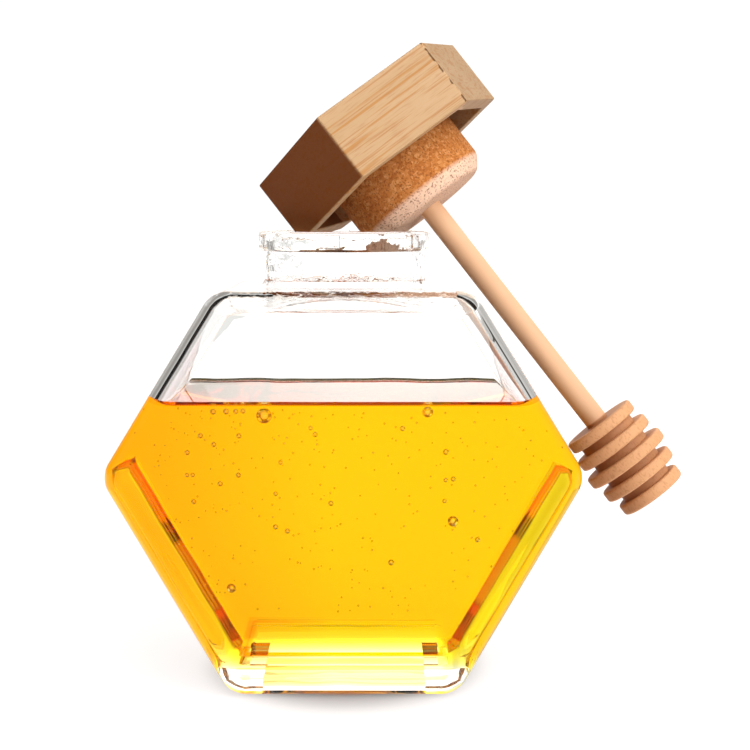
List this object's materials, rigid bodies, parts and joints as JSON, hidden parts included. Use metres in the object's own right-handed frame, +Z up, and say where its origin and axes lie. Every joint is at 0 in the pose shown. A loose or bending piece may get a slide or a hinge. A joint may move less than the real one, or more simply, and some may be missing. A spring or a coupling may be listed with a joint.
{
  "type": "honey dispenser jar",
  "caption": "Six-sided clear glass honey jar, filled, with its bamboo cap, cork plug and wooden dipper leaning across the mouth.",
  "frame": {"origin": "middle of the flat face that the jar stands on", "axes": "+Z up, +X to the right of the six-sided front, on the dipper's side, and the front looks to -Y"},
  "size_m": [0.1481, 0.0663, 0.1669],
  "materials": {
    "glass": "clear, polished",
    "honey": "clear golden yellow liquid",
    "bamboo": "pale pressed bamboo, straight grain, satin",
    "cork": "pressed cork granulate, matt",
    "dipper_wood": "pale turned wood, matt"
  },
  "bodies": {
    "root": {"jar_glass": "glass", "honey": "honey", "cap_bamboo": "bamboo", "cork": "cork", "dipper": "dipper_wood"}
  },
  "joints": []
}
